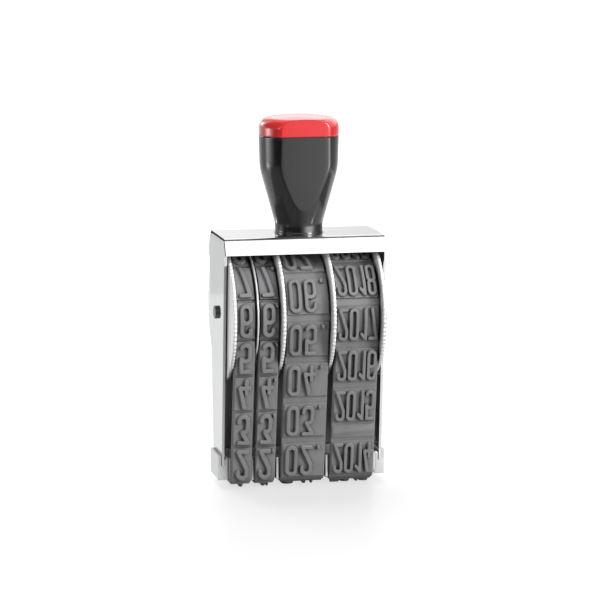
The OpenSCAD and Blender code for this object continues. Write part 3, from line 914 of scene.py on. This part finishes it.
@dataclass
class Handle:
    """Grip and cap of the handle: a turned body with a flat in front and one behind."""

    x: float = 0.7
    base_z: float = 121.2
    radius: float = 19.15
    flat: float = 15.0
    flat_lean: float = 2.3
    taper: float = 0.4
    neck_r: float = 11.4
    neck_h: float = 5.0
    collar_r: float = 11.6
    collar_h: float = 1.2
    collar_round: float = 0.9
    collar_start: float = 0.45
    collar_rows: int = 8
    flare_h: float = 26.4
    grip_h: float = 46.9
    grip_rows: int = 100
    grip_ends: Point2 = (0.3, 0.5)
    foot_lip: float = 0.12
    top_lip: float = 0.3
    lip_curve: float = 1.4
    seam: float = 0.35
    cap_h: float = 10.0
    cap_edge: tuple[Point2, ...] = ((0.22, 0.0), (0.06, 0.06), (0.0, 0.22))
    cap_side: float = 0.8
    side_rows: int = 4
    cap_round: float = 5.0
    round_turn: Point2 = (3.0, 90.0)
    round_rows: int = 30
    cap_dome: float = 1.2
    dome_span: Point2 = (0.95, 0.05)
    dome_rows: int = 14
    wall: float = 2.2
    spigot_h: float = 4.4
    spigot_gap: float = 0.02
    fit_gap: float = 0.05
    bore: Point2 = (5.05, 16.05)
    edge_blend: float = 1.0
    neck_blend: float = 0.9
    sharp_deg: float = 45.0
    section: FlattedRound = FlattedRound()

    def girth(self, z: float) -> float:
        """Gives the radius of the turned grip.

        Args:
            z: Height above the cover.

        Returns:
            The radius.
        """
        if z < self.collar_h:
            drop = max(0.0, z - (self.collar_h - self.collar_round)) / self.collar_round
            return self.collar_r - (self.collar_r - self.neck_r) * (1 - math.cos(drop * math.pi / 2))
        rise = z - self.neck_h
        slope = (self.radius - self.taper - self.neck_r) / self.flare_h
        cone = self.neck_r + slope * (rise + math.hypot(rise, self.neck_blend)) / 2
        flank_h = self.grip_h - self.neck_h - self.flare_h
        flank = self.radius - self.taper * min(1.0, (self.grip_h - z) / flank_h)
        blend = max(self.edge_blend - abs(flank - cone), 0.0) ** 2 / (4 * self.edge_blend)
        return min(flank, cone) - blend

    def ring(self, draft: MeshDraft, radius: float, z: float, inset: float = 0.0) -> int:
        """Adds one level outline of the handle.

        Args:
            draft: Mesh that is being made.
            radius: Radius of the round part.
            z: Height above the cover.
            inset: Distance in from the outside, on the round part and on the flats.

        Returns:
            Index of its first point.
        """
        lean = self.flat_lean * max(0.0, 1 - z / self.grip_h)
        outline = self.section.outline(radius - inset, self.flat - lean - inset)
        return draft.add(np.column_stack([outline[:, 0] + self.x, outline[:, 1],
                                          np.full(len(outline), self.base_z + z)]))

    def stack(self, draft: MeshDraft, starts: Sequence[int]) -> None:
        """Joins outlines one after the other and closes the last one by a face.

        Args:
            draft: Mesh that is being made.
            starts: First points of the outlines.
        """
        count = len(self.section.outline(self.radius, self.flat))
        for a, b in zip(starts, starts[1:]):
            draft.skin(a, b, count)
        draft.faces.append(tuple(starts[-1] + k for k in range(count)))

    def grip(self) -> Thing:
        """Builds the black grip.

        Returns:
            The piece.
        """
        draft = MeshDraft()
        bore_r, bore_h = self.bore
        first, last = self.grip_ends
        heights = np.concatenate([
            [0.0, self.foot_lip, self.collar_h - self.collar_round],
            np.linspace(self.collar_start, self.collar_h, self.collar_rows),
            np.linspace(self.collar_h + first, self.grip_h - last, self.grip_rows),
            [self.grip_h - self.top_lip, self.grip_h - self.foot_lip, self.grip_h]])
        starts = [self.ring(draft, bore_r, 0.0)]
        for z in map(float, heights):
            lip = max(0.0, self.top_lip - (self.grip_h - z)) + max(0.0, self.foot_lip - z)
            starts.append(self.ring(draft, self.girth(z), z, self.lip_curve * lip * lip))
        starts += [self.ring(draft, self.radius, self.grip_h + h, self.wall + self.fit_gap)
                   for h in (0.0, self.spigot_h - self.spigot_gap)]
        self.stack(draft, starts)
        self.stack(draft, [starts[0], self.ring(draft, bore_r, bore_h)])
        return self.moulded(draft, "handle_grip_moulded", GRIP_PLASTIC, "handle_grip", "grip_plastic")

    def cap(self) -> Thing:
        """Builds the red cap.

        Returns:
            The piece.
        """
        draft = MeshDraft()
        low, top = self.grip_h + self.seam, self.grip_h + self.cap_h
        shoulder = top - self.cap_dome - self.cap_round
        crown = self.radius - self.cap_round
        starts = [self.ring(draft, self.radius, low + up, inset)
                  for inset, up in ((self.wall, 0.0), *self.cap_edge)]
        starts += [self.ring(draft, self.radius, z)
                   for z in np.linspace(low + self.cap_side, shoulder, self.side_rows)]
        for a in np.radians(np.linspace(*self.round_turn, self.round_rows)):
            out, up = self.cap_round * math.cos(a), self.cap_round * math.sin(a)
            starts.append(self.ring(draft, crown + out, shoulder + up))
        starts += [self.ring(draft, crown * share, top - self.cap_dome * share * share)
                   for share in np.linspace(*self.dome_span, self.dome_rows)]
        self.stack(draft, starts)
        self.stack(draft, [starts[0], self.ring(draft, self.radius, self.grip_h + self.spigot_h, self.wall)])
        return self.moulded(draft, "handle_cap_moulded", CAP_PLASTIC, "handle_cap", "cap_plastic")

    def moulded(self, draft: MeshDraft, name: str, finish: Finish, node: str, slot: str) -> Thing:
        """Makes a moulded piece of the handle and lets it stand for its CAD node.

        Args:
            draft: Its mesh.
            name: Name of the piece.
            finish: Its finish.
            node: CAD node that it stands for.
            slot: Slot of the record that its finish comes from; not used.

        Returns:
            The piece.
        """
        piece = draft.piece(name, finish, self.sharp_deg)
        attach(piece, FRAME_BODY)
        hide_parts(node)
        return piece


@dataclass(frozen=True)
class Lamp:
    """A soft square lamp that points at the stamp; its power is in watts."""

    name: str
    place: Point3
    size: float
    power: float
    lights_floor: bool = False
    mirrored: bool = False


@dataclass(frozen=True)
class Wall:
    """A curved card round the stamp.

    The edges have a distance and a height. The lights are pairs of a direction, in degrees to the
    right of the front, and the brightness there; 1 is as white as the room.
    """

    name: str
    low: Point2
    high: Point2
    lights: tuple[Point2, ...]


@dataclass(frozen=True)
class Cloth:
    """A level card with a front left and a back right corner, and the brightness of both sides."""

    name: str
    low: Point2
    high: Point2
    levels: Point2
    z: float = 1.0


LAMPS = (
    Lamp("key_lamp", (550.0, -790.0, 1240.0), 420.0, 10.5, mirrored=True),
    Lamp("fill_lamp", (980.0, -1000.0, 440.0), 450.0, 17.0),
    Lamp("side_lamp", (-1200.0, -700.0, 500.0), 600.0, 8.0),
    Lamp("rear_lamp", (-500.0, 1300.0, 400.0), 600.0, 7.0),
    Lamp("back_lamp", (0.0, 600.0, 1200.0), 900.0, 12.0, lights_floor=True),
)
DARK_FRONT = ((-97.0, 0.7), (-88.0, 0.2), (-78.0, 0.05), (-6.0, 0.05), (4.0, 0.45), (12.0, 1.1),
              (24.0, 2.9), (34.0, 4.6), (46.0, 4.6))
WALLS = (
    Wall("round_wall", (600.0, 0.0), (600.0, 100.0), (
        (-180.0, 1.0), (-160.0, 0.88), (-148.0, 0.7), (-129.0, 0.6), (-122.0, 1.0), (-117.0, 2.6),
        (-111.0, 2.3), (-105.0, 1.5), *DARK_FRONT, (56.0, 3.4), (68.0, 1.7), (82.0, 0.8), (97.0, 0.5),
        (120.0, 0.55), (145.0, 0.85), (168.0, 0.88), (180.0, 1.0))),
    Wall("upper_wall", (600.0, 100.0), (600.0, 260.0), (
        (-180.0, 1.0), (-160.0, 0.88), (-148.0, 0.7), (-126.0, 0.6), *DARK_FRONT, (56.0, 3.0), (68.0, 1.2),
        (82.0, 0.4), (97.0, 0.25), (120.0, 0.3), (145.0, 0.6), (168.0, 0.88), (180.0, 1.0))),
    Wall("cap_light", (590.0, 105.0), (590.0, 180.0), (
        (-126.0, 0.6), (-118.0, 3.5), (-111.0, 8.0), (-106.0, 8.0), (-99.0, 3.5), (-90.0, 0.6))),
    Wall("low_left_light", (590.0, 0.0), (590.0, 52.0), (
        (-123.0, 0.6), (-118.0, 5.0), (-111.0, 4.5), (-106.0, 1.5))),
    Wall("low_right_light", (590.0, 0.0), (590.0, 48.0), (
        (14.0, 1.4), (30.0, 5.5), (48.0, 6.2), (66.0, 2.2))),
    Wall("back_softbox", (900.0, 330.0), (700.0, 800.0), (
        (120.0, 1.5), (174.0, 1.5), (190.0, 0.5), (204.0, 0.5))),
    Wall("front_softbox", (820.0, 640.0), (560.0, 940.0), ((-14.0, 1.3), (38.0, 1.3))),
    Wall("dark_left_cloth", (700.0, 300.0), (300.0, 1000.0), ((-136.0, 0.25), (-45.0, 0.25))),
)
CLOTHS = (
    Cloth("front_cloth", (-620.0, -620.0), (-50.0, -150.0), (0.3, 0.3)),
    Cloth("front_fade", (-50.0, -620.0), (110.0, -150.0), (0.3, 1.0)),
    Cloth("left_cloth", (-620.0, -150.0), (-90.0, 120.0), (0.4, 0.4)),
    Cloth("right_cloth", (90.0, -60.0), (450.0, 150.0), (0.4, 0.4)),
    Cloth("top_cloth", (-560.0, -900.0), (560.0, 250.0), (0.15, 0.15), 950.0),
    Cloth("pale_cloth", (-560.0, 250.0), (560.0, 900.0), (0.6, 0.6), 950.0),
)


@dataclass
class Studio:
    """Floor, light and camera."""

    target: Point3 = (0.0, 0.0, 78.6)
    azimuth_deg: float = -12.22
    elevation_deg: float = 9.37
    distance: float = 1401.6
    lens: float = 174.24
    sensor: float = 36.0
    clip_end: float = 50000.0
    shift: Point2 = (0.00463, 0.0331)
    floor_size: float = 12000.0
    floor_tone: float = 0.5
    floor_glow: float = 0.68
    floor_roughness: float = 0.35
    floor_shine: float = 0.04
    shadow_reach: Point2 = (140.0, 420.0)
    room_light: float = 0.22
    wall_step_deg: float = 2.0

    @staticmethod
    def aimed(thing: Thing, place: Vector, aim: Vector) -> Thing:
        """Puts a lamp or a camera in the scene.

        Args:
            thing: The lamp or camera.
            place: Where it goes.
            aim: What it points at.

        Returns:
            The same thing.
        """
        thing.location = place
        thing.rotation_euler = (aim - place).to_track_quat("-Z", "Y").to_euler()
        bpy.context.scene.collection.objects.link(thing)
        return thing

    def camera(self) -> None:
        """Sets the camera where the photograph was taken."""
        lens = bpy.data.cameras.new("camera")
        lens.lens = self.lens
        lens.sensor_width = self.sensor
        lens.shift_x, lens.shift_y = self.shift
        lens.clip_end = self.clip_end * MM
        az, el = math.radians(self.azimuth_deg), math.radians(self.elevation_deg)
        way = Vector((math.sin(az) * math.cos(el), -math.cos(az) * math.cos(el), math.sin(el)))
        aim = Vector(self.target) * MM
        eye = bpy.data.objects.new("camera", lens)
        bpy.context.scene.camera = self.aimed(eye, aim + way * self.distance * MM, aim)

    @staticmethod
    def prop(name: str, points: Sequence[Sequence[float]],
             faces: Sequence[Face]) -> Thing:
        """Makes a piece of the studio.

        Args:
            name: Name of the piece.
            points: Rows of X, Y and Z.
            faces: Points of each face.

        Returns:
            The object, in the scene.
        """
        mesh = bpy.data.meshes.new(name)
        mesh.from_pydata([tuple(float(c) * MM for c in point) for point in points], [], faces)
        thing = bpy.data.objects.new(name, mesh)
        bpy.context.scene.collection.objects.link(thing)
        return thing

    @staticmethod
    def plain_ray(tree: Tree) -> Socket:
        """Tells the rays that see the studio itself from those that carry its light.

        Args:
            tree: Node tree to add the nodes to.

        Returns:
            1 for camera, glossy and transmission rays, else 0.
        """
        path = add_node(tree, "LightPath", {}).outputs
        seen = calculate(tree, "MAXIMUM", path["Is Camera Ray"], path["Is Glossy Ray"])
        return calculate(tree, "MAXIMUM", seen, path["Is Transmission Ray"])

    def floor(self) -> Thing:
        """Lays the pale floor, which keeps the shadow near the stamp and is plain white far off.

        Returns:
            The floor.
        """
        half = self.floor_size / 2
        floor = self.prop("floor", [(-half, -half, 0), (half, -half, 0), (half, half, 0), (-half, half, 0)],
                          [(0, 1, 2, 3)])
        web = Web("floor_paper")
        web.settle({"Roughness": self.floor_roughness, "Specular IOR Level": self.floor_shine,
                    "Emission Color": (*WHITE, 1.0)})
        away = add_node(web.tree, "VectorMath", {0: web.place}, operation="LENGTH")
        near, far = (reach * MM for reach in self.shadow_reach)
        sockets = {"Value": away.outputs["Value"], "From Min": near, "From Max": far}
        fade = add_node(web.tree, "MapRange", sockets, interpolation_type="SMOOTHSTEP").outputs["Result"]
        web.tint(fade, (self.floor_tone,) * 3, BLACK)
        glow = web.spread(fade, (0.0, 1.0), self.floor_glow, 1.0)
        web.drive(calculate(web.tree, "MULTIPLY", self.plain_ray(web.tree), glow), "Emission Strength")
        floor.data.materials.append(web.material)
        return floor

    def world(self) -> None:
        """Fills the room with soft white light."""
        world = bpy.data.worlds.new("room")
        world.use_nodes = True
        bpy.context.scene.world = world
        tree = world.node_tree
        background = next(n for n in tree.nodes if n.type == "BACKGROUND")
        background.inputs["Color"].default_value = (*WHITE, 1.0)
        sockets = {"Value": self.plain_ray(tree), "To Min": self.room_light, "To Max": 1.0}
        level = add_node(tree, "MapRange", sockets)
        tree.links.new(level.outputs["Result"], background.inputs["Strength"])

    def card(self, name: str, points: Sequence[Sequence[float]], faces: Sequence[Face],
             levels: Sequence[float]) -> None:
        """Puts up a card that only shiny surfaces mirror.

        Args:
            name: Name of the card.
            points: Rows of X, Y and Z.
            faces: Points of each face.
            levels: Brightness at each point; 1 is as white as the room.
        """
        card = self.prop(name, points, faces)
        attribute = card.data.attributes.new("level", "FLOAT", "POINT")
        attribute.data.foreach_set("value", np.array(levels, dtype=float))
        material = bpy.data.materials.new(name)
        material.use_nodes = True
        tree = material.node_tree
        level = add_node(tree, "Attribute", {}, attribute_name="level")
        glow = add_node(tree, "Emission", {"Strength": level.outputs["Fac"]})
        output = next(n for n in tree.nodes if n.type == "OUTPUT_MATERIAL")
        tree.links.new(glow.outputs[0], output.inputs["Surface"])
        card.data.materials.append(material)
        card.visible_camera = card.visible_diffuse = card.visible_shadow = False

    def lay_cloth(self, cloth: Cloth) -> None:
        """Lays a cloth on the floor or hangs it level above the stamp.

        Args:
            cloth: The cloth.
        """
        (x0, y0), (x1, y1) = cloth.low, cloth.high
        left, right = cloth.levels
        corners = [(x0, y0, cloth.z), (x1, y0, cloth.z), (x1, y1, cloth.z), (x0, y1, cloth.z)]
        self.card(cloth.name, corners, [(0, 1, 2, 3)], [left, right, right, left])

    def stand_wall(self, wall: Wall) -> None:
        """Stands a wall of soft light and dark cloth round the stamp.

        Args:
            wall: The wall.
        """
        ways, levels = zip(*wall.lights)
        count = 1 + round((ways[-1] - ways[0]) / self.wall_step_deg)
        turns = np.linspace(ways[0], ways[-1], count)
        points = [(r * math.sin(a), -r * math.cos(a), z)
                  for r, z in (wall.low, wall.high) for a in np.radians(turns)]
        faces = [(k, k + 1, count + k + 1, count + k) for k in range(count - 1)]
        self.card(wall.name, points, faces, np.tile(np.interp(turns, ways, levels), 2))

    def hang_lamp(self, lamp: Lamp, floor: Thing) -> None:
        """Hangs a lamp, and keeps its light off the floor if it doesn't light it.

        Args:
            lamp: The lamp.
            floor: The floor.
        """
        light = bpy.data.lights.new(lamp.name, "AREA")
        light.shape = "RECTANGLE"
        light.size = light.size_y = lamp.size * MM
        light.energy = lamp.power
        light.specular_factor = 1.0 if lamp.mirrored else 0.0
        thing = bpy.data.objects.new(lamp.name, light)
        self.aimed(thing, Vector(lamp.place) * MM, Vector(self.target) * MM)
        if not lamp.lights_floor:
            spared = bpy.data.collections.new(f"{lamp.name}_spares")
            spared.objects.link(floor)
            spared.collection_objects[0].light_linking.link_state = "EXCLUDE"
            thing.light_linking.receiver_collection = spared

    def build(self) -> None:
        """Sets up the studio."""
        self.camera()
        floor = self.floor()
        self.world()
        for lamp in LAMPS:
            self.hang_lamp(lamp, floor)
        for wall in WALLS:
            self.stand_wall(wall)
        for cloth in CLOTHS:
            self.lay_cloth(cloth)
        bpy.context.scene.view_settings.view_transform = "Standard"


def day_texts(mark: str) -> dict[int, str]:
    """Gives the rows of a day band, the printing row being row 0.

    Args:
        mark: Mark after each figure.

    Returns:
        Text by row.
    """
    rows = {row: f"{row + 1}{mark}" for row in range(0, 8)}
    rows |= {-6: f"9{mark}", -5: "-", -4: "/", -3: "+", -2: ".", -1: f"0{mark}"}
    return rows


def build_bands() -> list[TypeBand]:
    """Describes the four bands.

    Returns:
        The bands from left to right.
    """
    first_year = 2013
    rows = range(-5, 7)
    day = TypeSize(height=15.0, width=5.9, stroke=1.75, space=1.35, mark_space=0.35)
    month = TypeSize(height=15.0, width=5.8, stroke=1.55, space=1.5, mark_space=2.2, mark_half=0.62)
    year = TypeSize(height=15.0, width=4.6, stroke=1.4, space=0.66)
    months = {row: f"{row % len(rows) + 1:02d}." for row in rows}
    years = {row: f"{first_year + row % len(rows)}" for row in rows}
    return [
        TypeBand("band_day_tens", left=-35.65, width=10.1, size=day, signs_left=2.15, texts=day_texts(""),
                 pitch=18.0, shift=3.2),
        TypeBand("band_day_units", left=-24.15, width=10.1, size=day, signs_left=1.6, texts=day_texts("."),
                 pitch=18.0, shift=3.2),
        TypeBand("band_month", left=-11.3, width=21.5, size=month, signs_left=1.85, texts=months,
                 pitch=20.4, shift=1.8),
        TypeBand("band_year", left=12.95, width=21.5, size=year, signs_left=1.15, texts=years,
                 pitch=20.4, shift=2.1, join=6.3),
    ]


def dress_nodes() -> None:
    """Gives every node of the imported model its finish."""
    for finish, nodes in NODE_FINISHES.items():
        for node in nodes:
            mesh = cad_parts[node].data
            mesh.materials.clear()
            mesh.materials.append(finish.material())
            LOG.info("dressed %s", node)


def main() -> None:
    """Builds the pieces in order."""
    logging.basicConfig(level=logging.INFO, format="%(name)s: %(message)s")
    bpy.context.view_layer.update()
    dress_nodes()
    for band in build_bands():
        LOG.info("built %s", band.build().name)
    handle = Handle()
    LOG.info("built %s", handle.grip().name)
    LOG.info("built %s", handle.cap().name)
    Studio().build()


if __name__ == "__main__":
    main()
